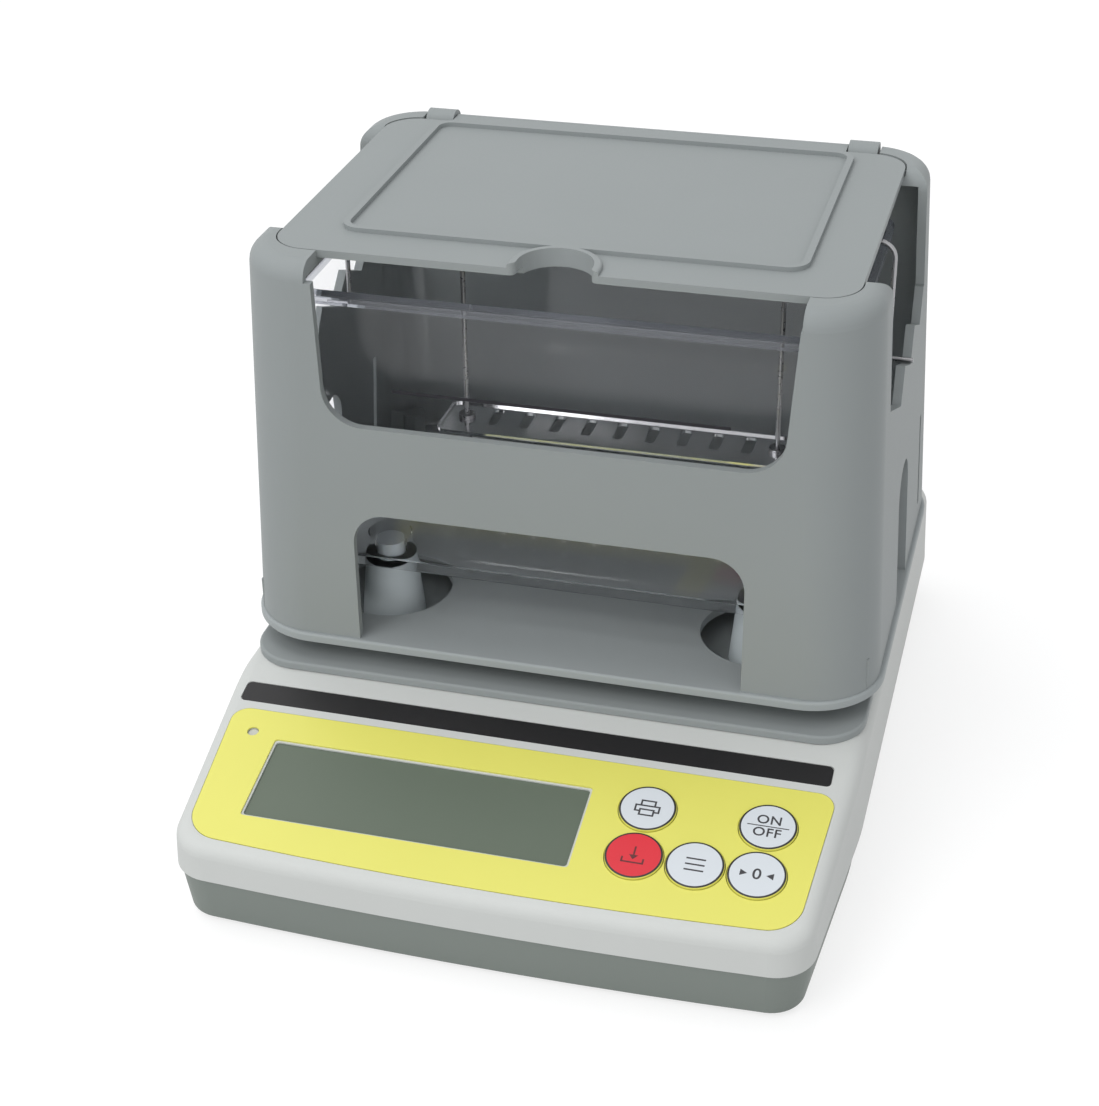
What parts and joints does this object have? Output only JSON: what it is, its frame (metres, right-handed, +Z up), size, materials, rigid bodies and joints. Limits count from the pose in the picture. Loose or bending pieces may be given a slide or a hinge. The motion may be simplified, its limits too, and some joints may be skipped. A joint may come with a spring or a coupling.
{
  "type": "benchtop density meter",
  "caption": "Electronic density meter: load-cell base with display and keys, unweighed clear water tank, weighed windowed housing with hinged lid pan and hanging basket.",
  "frame": {"origin": "on the table, under the middle of the object's plan", "axes": "+X to the right of the user, +Y to the back, +Z up"},
  "size_m": [0.192, 0.243, 0.1745],
  "materials": {
    "case_grey": "fine matt grey-green",
    "case_white": "fine matt warm off-white",
    "overlay_yellow": "matt printed film",
    "strip_black": "smooth near-black film",
    "display_glass": "smooth grey-green display window",
    "display_dark": "dark display, switched off",
    "indicator": "pale diffusing",
    "key_pale": "pale bluish white, satin",
    "key_red": "red, satin",
    "board": "green solder resist",
    "black_plastic": "moulded black",
    "port_metal": "plated shell",
    "bare_aluminium": "machined",
    "steel": "turned",
    "screw_steel": "zinc plated",
    "stage_grey": "fine matt mid grey",
    "post_grey": "matt mid grey",
    "tank_clear": "clear acrylic",
    "basket_steel": "polished stainless steel",
    "foot_rubber": "black rubber"
  },
  "bodies": {
    "base": {"lower_shell": "case_grey", "upper_shell": "case_white", "foot_front_left": "foot_rubber", "foot_front_right": "foot_rubber", "foot_back_left": "foot_rubber", "foot_back_right": "foot_rubber", "case_screws": "screw_steel", "overlay_panel": "overlay_yellow", "label_strip": "strip_black", "display_lens": "display_glass", "display_module": "display_dark", "stable_light": "indicator", "key_board": "board", "key_switches": "black_plastic", "key_board_screws": "screw_steel", "main_board": "board", "main_board_screws": "screw_steel", "power_inlet": "black_plastic", "data_port": "port_metal", "load_cell": "bare_aluminium", "load_cell_block": "bare_aluminium", "load_cell_screws": "screw_steel", "overload_stops": "steel", "tank_platform": "stage_grey", "tank_post_front_left": "post_grey", "tank_post_front_right": "post_grey", "tank_post_back_left": "post_grey", "tank_post_back_right": "post_grey", "post_screws": "screw_steel"},
    "stage": {"stage_tray": "stage_grey", "stage_hub": "bare_aluminium", "hub_screws": "screw_steel", "hub_bolts": "screw_steel", "housing_screws": "screw_steel", "housing": "stage_grey", "hinge_pins": "steel"},
    "lid": {"lid": "stage_grey"},
    "basket": {"basket_tray": "basket_steel", "basket_hanger_left": "basket_steel", "basket_hanger_right": "basket_steel"},
    "tank": {"tank": "tank_clear"},
    "key_print": {"key_print": "key_pale"},
    "key_memory": {"key_memory": "key_red"},
    "key_function": {"key_function": "key_pale"},
    "key_on_off": {"key_on_off": "key_pale"},
    "key_zero": {"key_zero": "key_pale"}
  },
  "joints": [
    {"name": "stage_sink", "type": "slide", "parent": "base", "child": "stage", "axis": [0, 0, 1], "range_m": [-0.0003, 0], "stiffness_N_per_m": 30000, "springref_m": 0.0006, "deforming": ["load_cell"]},
    {"name": "lid_hinge", "type": "hinge", "parent": "stage", "child": "lid", "pos_m": [0, 0.0845, 0.1695], "axis": [-1, 0, 0], "range_deg": [0, 100]},
    {"name": "basket_lift", "type": "slide", "parent": "stage", "child": "basket", "axis": [0, 0, 1], "range_m": [0, 0.004]},
    {"name": "tank_lift", "type": "slide", "parent": "base", "child": "tank", "axis": [0, 0, 1], "range_m": [0, 0.003]},
    {"name": "key_print_press", "type": "slide", "parent": "base", "child": "key_print", "axis": [0, -0.204, 0.979], "range_m": [-0.0005, 0], "stiffness_N_per_m": 400, "springref_m": 0.0002},
    {"name": "key_memory_press", "type": "slide", "parent": "base", "child": "key_memory", "axis": [0, -0.204, 0.979], "range_m": [-0.0005, 0], "stiffness_N_per_m": 400, "springref_m": 0.0002},
    {"name": "key_function_press", "type": "slide", "parent": "base", "child": "key_function", "axis": [0, -0.204, 0.979], "range_m": [-0.0005, 0], "stiffness_N_per_m": 400, "springref_m": 0.0002},
    {"name": "key_on_off_press", "type": "slide", "parent": "base", "child": "key_on_off", "axis": [0, -0.204, 0.979], "range_m": [-0.0005, 0], "stiffness_N_per_m": 400, "springref_m": 0.0002},
    {"name": "key_zero_press", "type": "slide", "parent": "base", "child": "key_zero", "axis": [0, -0.204, 0.979], "range_m": [-0.0005, 0], "stiffness_N_per_m": 400, "springref_m": 0.0002}
  ]
}
